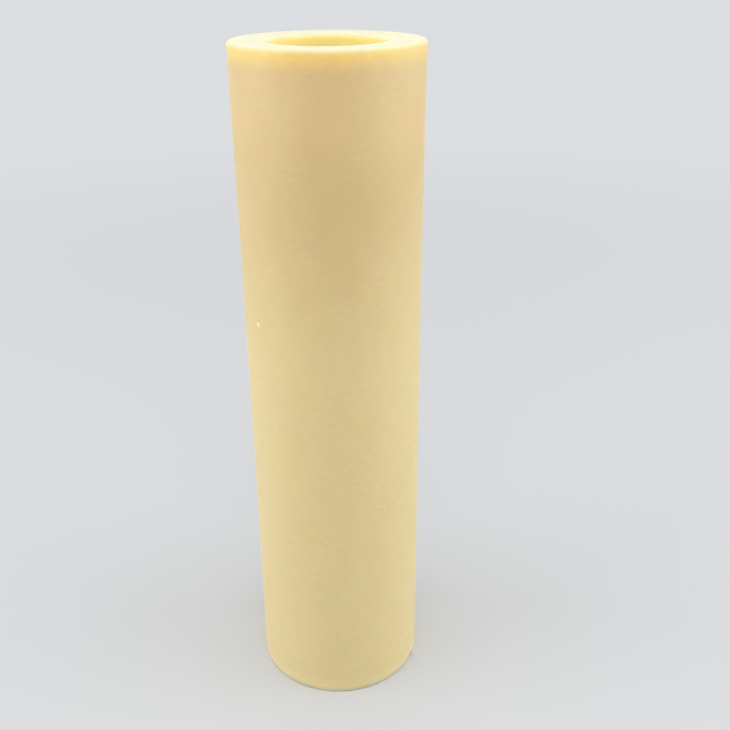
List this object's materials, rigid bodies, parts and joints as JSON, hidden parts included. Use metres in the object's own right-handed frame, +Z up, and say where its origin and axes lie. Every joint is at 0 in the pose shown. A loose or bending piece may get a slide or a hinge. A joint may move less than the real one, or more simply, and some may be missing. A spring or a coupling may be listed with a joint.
{
  "type": "alumina tube",
  "caption": "Thick-walled straight ceramic tube, open at both ends, with flat ground end faces and lightly broken edges.",
  "frame": {"origin": "centre of the lower end face, on the tube's axis, where the tube stands", "axes": "+Z up along the tube's axis; the side seen in front faces -Y, and the chips in the lower rim lie between +X and -Y"},
  "size_m": [0.05, 0.05, 0.192],
  "materials": {
    "alumina": "matt as fired, ground at both ends"
  },
  "bodies": {
    "root": {"alumina_tube": "alumina"}
  },
  "joints": []
}
